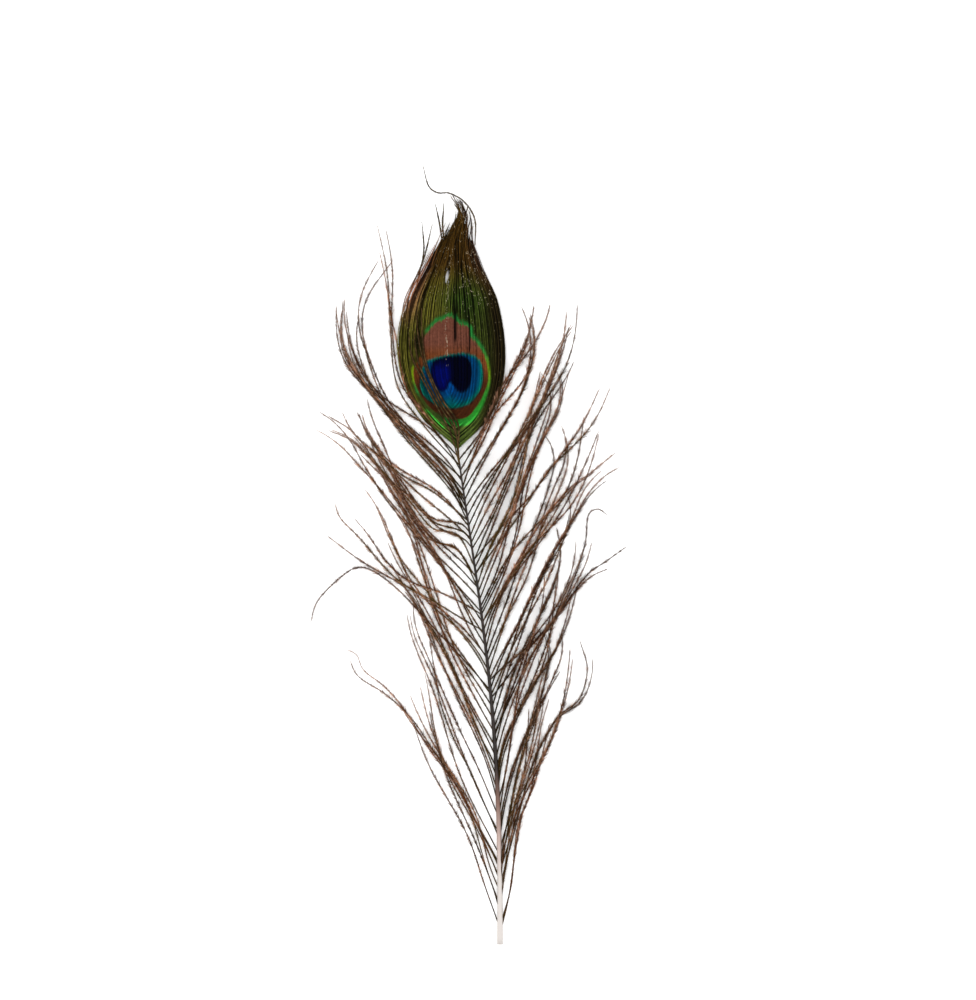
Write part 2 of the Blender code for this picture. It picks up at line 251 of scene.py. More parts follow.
def screen(red, green, blue):
    """The linear colour of one given as 0 to 255 on the screen."""
    shares = [value / 255 for value in (red, green, blue)]
    return tuple(share / 12.92 if share < 0.04045 else ((share + 0.055) / 1.055) ** 2.4 for share in shares)


def shaft_radius(y):
    left = 1 - min(1.0, y / SHAFT_LENGTH)
    return SHAFT_END_RADIUS + (SHAFT_ROOT_RADIUS - SHAFT_END_RADIUS) * left**1.5


def shaft_point(y):
    """The middle of the shaft at this distance up the feather."""
    share = y / SHAFT_LENGTH
    x = -SHAFT_LEAN * share**3 * (3 - 2 * share)
    arch = ease(SHAFT_REST, SHAFT_ARCH_TOP, y) - 0.45 * ease(SHAFT_ARCH_TOP, SHAFT_LENGTH, y)
    return Vector((x, y, SHAFT_FLAT_DEPTH * shaft_radius(y) + SHAFT_ARCH * arch))


def shaft_angle(y):
    """How far the shaft leans to the right here, in radians."""
    step = 2 * MM
    run = shaft_point(y + step) - shaft_point(y - step)
    return math.atan2(run.x, run.y)


def up_the_eye(y):
    """0 at the bottom of the eye's leaf outline and 1 at its top."""
    return np.clip((y - EYE_BOTTOM) / (EYE_TOP - EYE_BOTTOM), 0.0, 1.0)


def eye_half_width(y):
    """Half the width of the closed vane, a leaf that is fullest below its middle."""
    return EYE_HALF_WIDTH * np.sin(math.pi * up_the_eye(y) ** EYE_FULLEST)


def eye_point(across, y):
    """Points of the closed vane: across runs from -1 at its left edge to 1 at its right edge."""
    up = up_the_eye(y)
    x = EYE_AXIS_X + EYE_AXIS_BOW * np.sin(math.pi * up) + across * eye_half_width(y)
    cup = VANE_CUP * across * across * np.sin(math.pi * np.minimum(1.0, up + 0.1))
    return np.stack([x, y, VANE_LIFT + VANE_RISE * ease(0.25, 0.8, up) + cup], axis=-1)


def tuft_lean(across, y):
    """How far the tuft stands off the leaf's outline to the right: its top leans, and its edges draw in."""
    drawn_in = 2.2 * between(0.256, 0.272, 0.278, 0.295, y)
    return (2.0 * ease(0.277, 0.293, y) - across * drawn_in) * MM


def up_the_locks(side, number):
    """Which share of the way from the first root to the last this lock's root lies at."""
    return (number + (0.3 if side < 0 else 0.8)) / LOCKS_A_SIDE


def root_at(up):
    return FIRST_ROOT + (LAST_ROOT - FIRST_ROOT) * up


def loose_lock(side, number):
    """The line of a lock of loose barbs: side is -1 or 1, and number counts up from the cut end."""
    up = up_the_locks(side, number)
    habit = [2 * chance(side * 3 + 7, number + 1, trait) - 1 for trait in range(6)]
    low, high = SPREAD_LEFT if side < 0 else SPREAD_RIGHT
    spread = low + (high - low) * up + 3 * habit[0]
    belly = BELLY + 4 * habit[1]
    curl = CURL + CURL_ABOVE * up * up + CURL_AT_EYE * ease(0.82, 1.0, up) + 9 * habit[2]
    flick = FLICK * habit[3] ** 3
    sway = SWAY + 4 * habit[4]
    step_length = LOCK_LENGTH * (1 + 0.1 * habit[5] - 0.1 * ease(0.7, 1.0, up)) / LOCK_STEPS
    lift = LOCK_LIFT + (LOCK_HIGHEST - LOCK_LIFT) * chance(number, side + 5, 11) ** 2
    tip_lift = TIP_HIGHEST * ease(0.7, 1.0, chance(number, side + 5, 13))
    root = shaft_point(root_at(up))
    points = [root]
    for step in range(1, LOCK_STEPS + 1):
        middle = (step - 0.5) / LOCK_STEPS
        turn = spread + belly * math.sin(math.pi * middle) - curl * middle**2
        turn += flick * ease(0.75, 1.0, middle) + sway * math.sin(7 * middle + 6 * habit[0])
        heading = shaft_angle(root.y) + side * math.radians(turn)
        place = points[-1] + Vector((math.sin(heading), math.cos(heading), 0)) * step_length
        along = step / LOCK_STEPS
        rest = LOCK_FLOOR + tip_lift * along**3
        place.z = root.z + (rest - root.z) * ease(0, 0.7, along) + lift * math.sin(math.pi * along) ** 1.5
        points.append(place)
    return points


def spline(a, b, c, d, t):
    """Places on a smooth curve from the marks b to the marks c, with a before them and d after them."""
    return (2 * b + (c - a) * t + (2 * a - 5 * b + 4 * c - d) * t**2 + (3 * b - a - 3 * c + d) * t**3) / 2


def route(marks):
    """Points of a smooth curve through the marks, spread evenly along its length."""
    marks = np.array(marks, float)
    marks = np.concatenate([[2 * marks[0] - marks[1]], marks, [2 * marks[-1] - marks[-2]]])
    place = np.linspace(0, len(marks) - 3 - 1e-9, 4 * LINE_POINTS)
    first = place.astype(int)
    return evenly(spline(*(marks[first + step] for step in range(4)), (place - first)[:, None]))


def evenly(points):
    """The line through the points, as LINE_POINTS of them spread evenly along its length."""
    runs = np.linalg.norm(np.diff(points, axis=0), axis=1)
    reach = np.concatenate([[0], np.cumsum(runs)])
    marks = np.linspace(0, reach[-1], LINE_POINTS)
    return np.stack([np.interp(marks, reach, points[:, axis]) for axis in range(3)], axis=-1)


def apart_line(marks):
    """The line of a lock that lies apart, from its root on the shaft."""
    root, *places = marks
    return route([shaft_point(root * MM), *(Vector(place) * MM for place in places)])


def row_place():
    """Where the middle of the shaft's cut end lies on the solid, in its own frame."""
    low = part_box(NODE)[0]
    cut = [corner.co.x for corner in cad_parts[NODE].data.vertices if corner.co.y < low.y + 0.1 * MM]
    return np.array([(min(cut) + max(cut)) / 2, low.y, 0.0])


def placed(name, data):
    """A new object of this data, in the scene."""
    thing = bpy.data.objects.new(name, data)
    bpy.context.scene.collection.objects.link(thing)
    return thing


def finished(work, name):
    """The bmesh as a mesh of this name."""
    mesh = bpy.data.meshes.new(name)
    work.to_mesh(mesh)
    work.free()
    return mesh


def evaluated_copy(mesh, modify):
    """The mesh after the modifiers that modify puts on an object of it."""
    holder = placed("holder", mesh)
    modify(holder)
    bpy.context.view_layer.update()
    graph = bpy.context.evaluated_depsgraph_get()
    copy = bpy.data.meshes.new_from_object(holder.evaluated_get(graph))
    bpy.data.objects.remove(holder)
    return copy


def repeated(mesh, count):
    """A mesh of this many copies of the mesh, all in its own place."""
    def modify(holder):
        array = holder.modifiers.new("copies", "ARRAY")
        array.count = count
        array.use_relative_offset = False
    return evaluated_copy(mesh, modify)


def rod_mesh(name, sides, rings):
    """A closed rod of radius 1 from y = 0 to y = 1, cut into rings."""
    work = bmesh.new()
    bmesh.ops.create_cone(work, cap_ends=True, segments=sides, radius1=1, radius2=1, depth=1)
    long_edges = [edge for edge in work.edges if abs(edge.verts[0].co.z - edge.verts[1].co.z) > 0.5]
    bmesh.ops.subdivide_edges(work, edges=long_edges, cuts=rings - 1, use_grid_fill=True)
    bmesh.ops.translate(work, verts=work.verts, vec=(0, 0, 0.5))
    bmesh.ops.rotate(work, verts=work.verts, cent=(0, 0, 0), matrix=Matrix.Rotation(-math.pi / 2, 3, "X"))
    bmesh.ops.triangulate(work, faces=work.faces)
    return finished(work, name)


def barbule_mesh():
    """A pointed sliver of three sides from x = 0 to x = 1, of radius 1."""
    work = bmesh.new()
    bmesh.ops.create_cone(work, cap_ends=True, segments=3, radius1=1, radius2=0, depth=1)
    bmesh.ops.remove_doubles(work, verts=work.verts, dist=1e-4)
    bmesh.ops.translate(work, verts=work.verts, vec=(0, 0, 0.5))
    bmesh.ops.rotate(work, verts=work.verts, cent=(0, 0, 0), matrix=Matrix.Rotation(math.pi / 2, 3, "Y"))
    bmesh.ops.recalc_face_normals(work, faces=work.faces)
    return finished(work, "barbule")


def corners_of(mesh):
    """The places of the mesh's corners, as (corner, 3)."""
    places = np.empty(len(mesh.vertices) * 3)
    mesh.vertices.foreach_get("co", places)
    return places.reshape(-1, 3)


def move_corners(mesh, places):
    mesh.vertices.foreach_set("co", places.astype(np.float32).ravel())
    mesh.update()


def joined(first, second):
    """One mesh of the two, the first's corners before the second's."""
    work = bmesh.new()
    work.from_mesh(first)
    work.from_mesh(second)
    return finished(work, "joined")


def unit(runs):
    """The same directions with a length of 1."""
    return runs / np.linalg.norm(runs, axis=-1, keepdims=True)


class Barbs:
    """A set of barbs: their lines, the directions along and across them, and their smooth unevenness."""

    def __init__(self, lines, seed, fullness=1.0):
        self.lines = np.array(lines)
        self.fullness = np.broadcast_to(fullness, (len(lines),))[:, None, None]
        self.random = np.random.default_rng(seed)
        self.ahead = unit(np.gradient(self.lines, axis=1))
        self.out = unit(np.cross(self.ahead, (0, 0, 1.0)))
        self.side = None
        self.mottle = self.smooth_noise(80, 4 * LINE_POINTS)
        self.streak = self.smooth_noise(9, LINE_POINTS)

    def at(self, table, shares):
        """The values of a table of (barb, point, value) at each barb's shares of its length."""
        last = table.shape[1] - 1
        place = np.clip(shares, 0, 1) * last
        first = np.minimum(place.astype(int), last - 1)
        part = (place - first)[..., None]
        barb = np.arange(len(table))[:, None]
        return table[barb, first] * (1 - part) + table[barb, first + 1] * part

    def axes_at(self, shares):
        """The places at each barb's shares of its length, and the directions out, ahead and up from them."""
        out = self.at(self.out, shares)
        ahead = self.at(self.ahead, shares)
        return self.at(self.lines, shares), out, ahead, np.cross(out, ahead)

    def smooth_noise(self, bumps, count):
        """Smooth random numbers from -1 to 1 along each barb, as (barb, point, 1)."""
        knots = self.random.uniform(-1, 1, (len(self.lines), bumps + 1))
        marks = np.linspace(0, bumps, count)
        first = np.minimum(marks.astype(int), bumps - 1)
        part = ease(0, 1, marks - first)
        return (knots[:, first] * (1 - part) + knots[:, first + 1] * part)[..., None]


def build_barbs(name, barbs, look, paint, material):
    """One joined mesh of the barbs: look gives their sizes and paint the colour of each place on them."""
    count = len(barbs.lines)
    ramus = rod_mesh("ramus", RAMUS_SIDES, RAMUS_RINGS)
    barbule = barbule_mesh()
    a_side = look["barbules"]
    total = 2 * a_side
    mesh = repeated(joined(ramus, repeated(barbule, total)), count)
    mesh.name = name

    rod = corners_of(ramus)
    shares = np.broadcast_to(rod[:, 1], (count, len(rod)))
    middle, out, ahead, up = barbs.axes_at(shares)
    thick = look["ramus"] * (0.4 + 0.6 * barbs.fullness) * (0.42 + 0.58 * (1 - shares) ** 0.8)[..., None]
    rod_places = middle + thick * (out * rod[:, 0, None] + up * rod[:, 2, None])
    rod_colours = paint(barbs, shares, middle, "ramus", np.ones((count, 1)))

    random = barbs.random
    side = np.where(np.arange(total) % 2, 1.0, -1.0)
    steps = (np.arange(total) // 2 + 0.5 + 0.25 * side) / a_side
    roots = look["first"] + (look["last"] - look["first"]) * steps
    roots = roots + random.uniform(-0.4, 0.4, (count, total)) / a_side
    middle, out, ahead, up = barbs.axes_at(roots)
    roll = look["roll"] * barbs.at(barbs.smooth_noise(5, LINE_POINTS), roots)
    flat = out * np.cos(roll) + up * np.sin(roll)
    raised = np.cross(flat, ahead)
    fullness = look["profile"](barbs, roots)[..., None] * barbs.fullness * look["closed"](middle)[..., None]
    ragged = 1 + look["ragged"] * barbs.at(barbs.smooth_noise(70, 4 * LINE_POINTS), roots)
    length = look["length"] * fullness * ragged * random.uniform(0.72, 1.15, (count, total, 1))
    angle = np.radians(look["angle"] + look["angle_spread"] * random.uniform(-1, 1, (count, total, 1)))
    droop = look["droop"] + look["droop_spread"] * random.uniform(-1, 1, (count, total, 1))
    reach = unit(ahead * np.cos(angle) + flat * (side[:, None] * np.sin(angle)) + raised * droop)
    wide = unit(np.cross(raised, reach))
    above = np.cross(reach, wide)
    half = look["width"] / 2 * (0.5 + 0.5 * fullness)
    sliver = corners_of(barbule)
    runs = np.stack([reach * length, wide * half, above * half * look["flatness"]], axis=2)
    places = middle[:, :, None] + sliver @ runs
    tone = random.uniform(0, 1, (count, total))
    barbs.side = side
    inner = paint(barbs, roots, middle + reach * length * 0.3, "barbule", tone)
    outer = paint(barbs, roots, middle + reach * length * 0.7, "barbule_tip", tone)
    spread = np.where((sliver[:, 0] > 0.5)[:, None], outer[:, :, None, :], inner[:, :, None, :])

    places = np.concatenate([rod_places, places.reshape(count, -1, 3)], axis=1).reshape(-1, 3)
    colours = np.concatenate([rod_colours, spread.reshape(count, -1, 3)], axis=1).reshape(-1, 3)
    places[:, 2] = np.clip(places[:, 2], look["lowest"], look["highest"])
    return finish_mesh(name, mesh, places, colours, material)


def finish_mesh(name, mesh, places, colours, material):
    """Puts the corners in place, paints them, and adds the piece to the feather."""
    move_corners(mesh, places + row_place())
    tint = mesh.attributes.new("tint", "FLOAT_COLOR", "POINT")
    solid = np.concatenate([colours, np.ones((len(colours), 1))], axis=1)
    tint.data.foreach_set("color", solid.astype(np.float32).ravel())
    mesh.materials.clear()
    mesh.materials.append(material)
    return add_piece(name, mesh)


def add_piece(name, mesh):
    """A new piece of the feather, which stands for its solid and moves with it."""
    piece = placed(name, mesh)
    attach(piece, "root")
    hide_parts(NODE)
    return piece


def mixed(first, second, share):
    """The colours between two, for arrays of shares."""
    share = np.asarray(share)[..., None]
    return np.asarray(first) * (1 - share) + np.asarray(second) * share


def layered(colour, *layers):
    """The colour under layers of others, each given with its share."""
    for over, share in layers:
        colour = mixed(colour, over, share)
    return colour


def on_plan(places):
    """The x and the y of places, in millimetres."""
    return places[..., 0] / MM, places[..., 1] / MM


def outline(marks):
    """A smooth closed outline through its marks."""
    marks = np.array(marks, float)
    place = np.linspace(0, len(marks), OUTLINE_POINTS, endpoint=False)
    first = place.astype(int)
    around = (marks[(first + step - 1) % len(marks)] for step in range(4))
    return spline(*around, (place - first)[:, None])


def off_run(x, y, start, end):
    """The square of how far places lie from the straight run from start to end."""
    run = end - start
    share = np.clip(((x - start[0]) * run[0] + (y - start[1]) * run[1]) / (run @ run), 0, 1)
    return (x - start[0] - share * run[0]) ** 2 + (y - start[1] - share * run[1]) ** 2


def past_edge(x, y, marks):
    """How far places lie outside a closed outline, in millimetres, and below 0 inside it."""
    edge = outline(marks)
    nearest = np.full(x.shape, 1e9)
    inside = np.zeros(x.shape, bool)
    for start, end in zip(edge, np.roll(edge, -1, axis=0)):
        nearest = np.minimum(nearest, off_run(x, y, start, end))
        run = end - start
        level = (start[1] > y) != (end[1] > y)
        rise = run[1] if abs(run[1]) > 1e-9 else 1e-9
        inside ^= level & (x < start[0] + (y - start[1]) / rise * run[0])
    return np.where(inside, -1, 1) * np.sqrt(nearest)


def near(x, y, place, reach):
    """1 at a place on the plan, falling smoothly to 0 at its reach."""
    away = np.hypot(x - place[0], y - place[1])
    return 1 - ease(0, reach, away)


def eye_colours(x, y, colours, ragged=0.0):
    """The colours of the eye at places on the plan, in millimetres; ragged moves the ring's edges up."""
    pupil = past_edge(x, y, PUPIL)
    iris = past_edge(x, y, IRIS)
    bronze = past_edge(x, y + ragged, BRONZE)
    bearing = np.degrees(np.arctan2(y - RING_CENTRE[1], x - RING_CENTRE[0]))
    axis = 1000 * (EYE_AXIS_X + EYE_AXIS_BOW * np.sin(math.pi * up_the_eye(y * MM)))
    across = (x - axis) / (1000 * eye_half_width(y * MM) + 0.5)

    ground = layered(
        colours.olive,
        (colours.upper_right, ease(-0.1, 0.3, across)),
        (colours.dark_edge, ease(0.5, 0.85, across)),
        (colours.dark_edge, 0.75 * near(x, y, (-32.5, 240), 6)),
        (colours.tuft_green, 0.9 * near(x, y, (-16, 257), 13)),
        (colours.dull_green, (1 - ease(208, 216, y)) * (1 - ease(0.5, 0.8, across))),
        (colours.tuft, ease(256, 272, y) * (1 - 0.5 * near(x, y, (-17, 262), 12))),
        (colours.rim_dark, 0.75 * ease(0.3, 0.8, across) * ease(258, 276, y)),
        (colours.tuft_edge, ease(0.5, 0.9, -across) * between(243, 262, 282, 288, y)),
        (colours.bright_green, 0.75 * (1 - ease(0.2, 0.8, np.sqrt(off_run(x, y, *STREAK))))),
    )
    ring_width = 1.5 + 1.5 * bell(-76, 24, bearing) - 0.5 * ease(118, 170, np.abs(bearing))
    ring_width = ring_width - 0.5 * bell(-4, 26, bearing)
    ring = 1 - ease(ring_width - 0.7, ring_width + 0.4, bronze + 0.8 * ragged * ease(60, 100, -bearing))
    ring = ring * (1 - between(118, 128, 168, 176, bearing))
    ring = ring * (1 - 0.85 * between(-150, -138, -104, -92, bearing))
    to_side = bell(-4, 22, bearing) + ease(150, 170, np.abs(bearing))
    ring_colour = layered(colours.ring_green, (colours.yellow_green, to_side),
                          (colours.bright_green, bell(-55, 36, bearing)))
    copper = layered(colours.bronze_low, (colours.bronze_mid, ease(222, 232, y)),
                     (colours.bronze_top, ease(234, 241, y)))
    water = layered(
        colours.iris_rim,
        (colours.iris_teal, ease(0.5, 2.4, -iris)),
        (colours.iris_blue, (1 - ease(1.2, 5.5, pupil)) * ease(0.4, 1.2, -iris)),
        (colours.notch_blue, 0.85 * near(x, y, (-19.8, 222.6), 5)),
    )
    depth = layered(
        colours.pupil_left,
        (colours.pupil_right, ease(-21.5, -18.5, x)),
        (colours.pupil_right, 0.8 * ease(228.5, 233, y)),
        (colours.pupil_right, 0.7 * ease(-2.2, -0.2, pupil)),
    )
    return layered(
        ground,
        (ring_colour, ring),
        (copper, 1 - ease(-0.2, 0.25, bronze)),
        (colours.rim_dark, 0.8 * (1 - ease(0.3, 0.7, iris)) * (1 - ease(228, 234, y))),
        (water, 1 - ease(-0.15, 0.2, iris)),
        (depth, 1 - ease(-0.35, 0.45, pupil)),
    )


def split_shade(x, y):
    """The painted shade of the splits between the eye's barbs: 1 in the middle of a split, and 0 away from
    all of them, in millimetres.
    """
    depth = np.zeros(np.broadcast(x, y).shape)
    for middle, low, high, gap in DARK_SPLITS:
        across = 1 - ease(0.35 * gap, 0.75 * gap, np.abs(x - middle))
        depth = np.maximum(depth, between(low, low + 4, high, high + 6, y) * across)
    return depth


def new_material(name):
    """A new material, its node tree and its shader."""
    material = bpy.data.materials.new(name)
    material.use_nodes = True
    return material, material.node_tree, material.node_tree.nodes["Principled BSDF"]


def wire(tree, node, inputs):
    """Gives the node's inputs: the outputs of other nodes are linked, and all else is set."""
    for key, given in inputs.items():
        if isinstance(given, bpy.types.NodeSocket):
            tree.links.new(given, node.inputs[key])
        else:
            node.inputs[key].default_value = given


def made(tree, kind, inputs, output=0, **traits):
    """The output of a new node of this kind."""
    node = tree.nodes.new(f"ShaderNode{kind}")
    for name, trait in traits.items():
        setattr(node, name, trait)
    wire(tree, node, inputs)
    return node.outputs[output]


def ranged(tree, given, low=0, high=1, start=0, end=1):
    """The number given, moved from the range of low to high to that of start to end."""
    ranges = {"From Min": low, "From Max": high, "To Min": start, "To Max": end}
    return made(tree, "MapRange", {"Value": given, **ranges})


def barb_material(name, roughness, metallic, gloss_level, grain):
    """Barbs: the colour that each carries, broken up by a fine grain, with a soft gloss."""
    material, tree, shader = new_material(name)
    tint = made(tree, "Attribute", {}, attribute_name="tint")
    place = made(tree, "TexCoord", {}, "Object")
    noise = made(tree, "TexNoise", {"Vector": place, "Scale": 900, "Detail": 3})
    level = ranged(tree, noise, 0.3, 0.7, 1 - grain, 1 + grain)
    wire(tree, shader, {
        "Base Color": made(tree, "VectorMath", {0: tint, "Scale": level}, operation="SCALE"),
        "Roughness": ranged(tree, noise, start=roughness - 0.1, end=roughness + 0.1),
        "Metallic": metallic,
        "Specular IOR Level": gloss_level,
    })
    return material


def horn_material(shaft):
    """The shaft: pale horn at the cut end that turns pinkish and then nearly black, finely streaked."""
    material, tree, shader = new_material("shaft_horn")
    place = made(tree, "TexCoord", {}, "Object")
    streaks = made(tree, "Mapping", {"Vector": place, "Scale": (2600, 60, 2600)})
    noise = made(tree, "TexNoise", {"Vector": streaks, "Scale": 1, "Detail": 4})
    start = row_place()[1]
    up = ranged(tree, made(tree, "SeparateXYZ", {"Vector": place}, "Y"), start, start + shaft.dark_from)
    uneven = made(tree, "Math", {0: noise, 1: 0.16, 2: up}, operation="MULTIPLY_ADD")
    shifted = made(tree, "Math", {0: uneven, 1: 0.08}, operation="SUBTRACT")
    horn = made(tree, "ValToRGB", {"Fac": shifted})
    stops = ((0.0, shaft.pale), (0.36, shaft.pale), (0.6, shaft.pinkish), (0.8, shaft.brown),
             (1.0, shaft.dark))
    elements = horn.node.color_ramp.elements
    while len(elements) < len(stops):
        elements.new(0.5)
    for element, (position, colour) in zip(elements, stops):
        element.position = position
        element.color = (*colour, 1)

    cells = made(tree, "TexVoronoi", {"Vector": place, "Scale": 9000})
    sponge = ranged(tree, cells, start=0.35)
    pith = made(tree, "VectorMath", {0: shaft.pith, "Scale": sponge}, operation="SCALE")
    middle = Vector(row_place()) + shaft_point(0)
    inward = made(tree, "VectorMath", {0: place, 1: middle}, "Value", operation="DISTANCE")
    cut = ranged(tree, inward, *PITH_EDGE)
    wire(tree, shader, {
        "Base Color": made(tree, "Mix", {"Factor": cut, "A": horn, "B": pith}, "Result", data_type="RGBA"),
        "Normal": made(tree, "Bump", {"Height": noise, "Strength": 0.25, "Distance": 0.00005}),
        "Roughness": 0.38,
        "Specular IOR Level": 0.3,
        "Coat Weight": 0.1,
        "Coat Roughness": 0.25,
    })
    return material


def floor_material(colour):
    """The floor: pale paper with a faint grain and a glow of its own."""
    material, tree, shader = new_material("floor_paper")
    place = made(tree, "TexCoord", {}, "Object")
    noise = made(tree, "TexNoise", {"Vector": place, "Scale": 1500})
    wire(tree, shader, {
        "Base Color": (*colour, 1),
        "Normal": made(tree, "Bump", {"Height": noise, "Strength": 0.02, "Distance": 0.0001}),
        "Emission Color": (1, 1, 1, 1),
        "Emission Strength": FLOOR_GLOW,
        "Roughness": 0.9,
    })
    return material


def swatch(name, description, *on_screen):
    """A colour that is given as 0 to 255 on the screen."""
    return FloatVectorProperty(name=name, description=description, subtype="COLOR", size=3, min=0, max=1,
                               default=screen(*on_screen))


def length_property(name, description, size):
    return FloatProperty(name=name, description=description, subtype="DISTANCE", unit="LENGTH", min=0,
                         precision=5, default=size)


class ShaftSettings(bpy.types.PropertyGroup):
    """What a user would change on the shaft."""

    dark_from: length_property("Dark from", "Distance up the shaft where its pale horn is dark", 0.070)
    pale: swatch("Pale", "Horn at the cut end", 205, 198, 193)
    pinkish: swatch("Pinkish", "Horn where it starts to darken", 186, 163, 154)
    brown: swatch("Brown", "Horn just below the dark stretch", 122, 92, 80)
    dark: swatch("Dark", "Horn from there to the eye", 26, 17, 11)
    pith: swatch("Pith", "The sponge inside the cut end", 226, 214, 190)


class BarbSettings(bpy.types.PropertyGroup):
    """What a user would change on the loose barbs."""

    ramus: length_property("Ramus", "Radius of a barb's ramus at its root", 0.00033)
    length: length_property("Barbule length", "Length of the barbules along the loose barbs", 0.0021)
    width: length_property("Barbule width", "Width of a barbule at its root", 0.00029)
    barbules: IntProperty(name="Barbules a side", description="Barbules on each side of a barb",
                          min=10, max=600, default=280)
    root: swatch("Root", "Barbs beside the shaft", 42, 33, 10)
    copper: swatch("Copper", "Barbs along most of their length", 88, 48, 25)
    shade: swatch("Shade", "The darker barbules", 27, 12, 4)
    # A pale colour painted in specks along each barb, and as painted light on one side of its barbules
    core: swatch("Core", "The ramus that shows along a barb", 188, 138, 110)
    sparkle: swatch("Sparkle", "Single barbules that catch the light", 218, 180, 146)
    olive: swatch("Olive", "Barbs with a green cast", 66, 56, 12)
    tip: swatch("Tip", "The bare ends of the barbs", 134, 108, 94)
    over: swatch("Over the eye", "Barbs that stray over the eye", 32, 23, 9)
    over_ramus: swatch("Over the eye, ramus", "The ramus of those barbs", 84, 66, 40)


class EyeSettings(bpy.types.PropertyGroup):
    """What a user would change on the eye."""

    barbs_a_side: IntProperty(name="Barbs a side", description="Barbs on each side of the eye",
                              min=5, max=60, default=36)
    barbules: IntProperty(name="Barbules a side", description="Barbules on each side of an eye barb",
                          min=10, max=600, default=300)
    length: length_property("Barbule length", "Length of the barbules of the closed vane", 0.00125)
    width: length_property("Barbule width", "Width of a barbule at its root", 0.00030)
    olive: swatch("Olive", "Barbs left of the ring", 57, 55, 16)
    upper_right: swatch("Upper right", "Barbs right of the ring", 34, 42, 11)
    dark_edge: swatch("Dark edge", "Barbs along the right edge", 21, 16, 5)
    tuft: swatch("Tuft", "Barbs above the eye", 42, 28, 6)
    tuft_green: swatch("Tuft green", "Barbs just above the ring", 32, 48, 13)
    tuft_edge: swatch("Tuft edge", "Barbs along the upper left edge", 104, 66, 48)
    dull_green: swatch("Dull green", "Barbs below the ring", 47, 58, 21)
    ring_green: swatch("Ring green", "The thin ring over the bronze", 34, 114, 48)
    bright_green: swatch("Bright green", "The crescent below the bronze", 40, 132, 40)
    yellow_green: swatch("Yellow green", "The ring at the sides", 108, 138, 16)
    bronze_top: swatch("Bronze, upper", "The bronze dome", 106, 63, 49)
    bronze_mid: swatch("Bronze, middle", "The dome just over the blue", 108, 58, 28)
    bronze_low: swatch("Bronze, lower", "The bronze ring", 66, 33, 15)
    rim_dark: swatch("Rim", "The thin line around the blue", 30, 16, 14)
    iris_rim: swatch("Blue, rim", "The outermost blue green", 0, 92, 80)
    iris_teal: swatch("Blue, middle", "The blue between rim and heart", 0, 88, 100)
    iris_blue: swatch("Blue, inner", "The blue beside the heart", 0, 54, 96)
    notch_blue: swatch("Blue, notch", "The blue between the heart's lobes", 0, 66, 136)
    pupil_left: swatch("Heart, left", "The left lobe of the dark heart", 0, 6, 80)
    pupil_right: swatch("Heart, right", "The right lobe of the dark heart", 0, 1, 20)
    glint: swatch("Glint", "The pale flecks along the seam", 206, 192, 164)


class StageSettings(bpy.types.PropertyGroup):
    """What a user would change on the floor, the lights and the camera."""

    floor: FloatVectorProperty(name="Floor", description="The floor under the feather", subtype="COLOR",
                               size=3, min=0, max=1, default=(0.93, 0.93, 0.93))
    light: FloatProperty(name="Light", description="Power of the large soft light", unit="POWER", min=0,
                         default=8.0)
    sky: FloatProperty(name="Sky", description="Strength of the light from all around", min=0, default=1.0)


def loose_everywhere(places):
    """How far loose barbs' barbules reach at places on the plan: their full length at all of them."""
    return np.ones(places.shape[:-1])


def closed_in_the_ring(places):
    """How far the eye's barbules reach: hooked into one another over the ring, and shorter outside it."""
    x, y = on_plan(places)
    return 1 - 0.4 * ease(1.5, 4.0, past_edge(x, y, BRONZE)) * between(206, 214, 280, 288, y)


def barb_profile(barbs, shares):
    """How full a loose barb's barbules are along it: short by the root, full, then fading to a bare tip.

    The barbs by the quill are bare for longer.
    """
    by_quill = 1 - ease(0.03, 0.10, barbs.lines[:, :1, 1])
    rooted = 0.5 - 0.25 * by_quill
    filled = rooted + (1 - rooted) * ease(0.0, 0.22 + 0.33 * by_quill, shares)
    return filled * (1 - 0.58 * ease(0.7, 1.0, shares))


def paint_loose(settings, seed, dimmed=1.0):
    """The paint of a set of loose barbs: each has its own cast, and its root and tip their own colours."""
    def paint(barbs, shares, places, part, tone):
        random = np.random.default_rng(seed)
        count = len(barbs.lines)
        cast = random.uniform(0, 1, (count, 1)) ** 1.3
        light = dimmed * random.uniform(0.5, 1.4, (count, 1))
        # Painted light: the side of each barb whose barbules are painted paler, as if lit; for most barbs it
        # is the same side
        lit_side = random.choice([-1, 1], (count, 1), p=[0.8, 0.2])
        mottle = barbs.at(barbs.mottle, shares)[..., 0]
        body = mixed(settings.copper, settings.olive, cast * (1 - 0.4 * shares))
        core = mixed(settings.core, settings.olive, 0.5 * cast * (1 - 0.4 * shares))
        if part == "ramus":
            colour = layered(body, (settings.shade, 0.4), (core, 0.5 * ease(0.2, 0.9, mottle)))
        else:
            # painted light: the barbules on the barb's lit side are painted paler
            pale = (barbs.side * lit_side > 0) * ease(-0.9, 0.2, mottle)
            colour = layered(body, (settings.shade, 0.25 + 0.6 * tone),
                             (core, pale * (0.3 + 0.5 * (1 - tone))),
                             (core, 0.5 * ease(0.5, 0.9, mottle)),
                             (settings.tip, 0.25 * (part == "barbule_tip")))
        colour = layered(colour, (settings.root, 0.85 * (1 - ease(0.02, 0.3, shares))),
                         (settings.tip, 0.8 * ease(0.7, 1.0, shares)))
        sparkle = 0.75 * ease(0.955, 0.975, tone) * (part != "ramus")
        return mixed(colour * light[..., None], settings.sparkle, sparkle)
    return paint


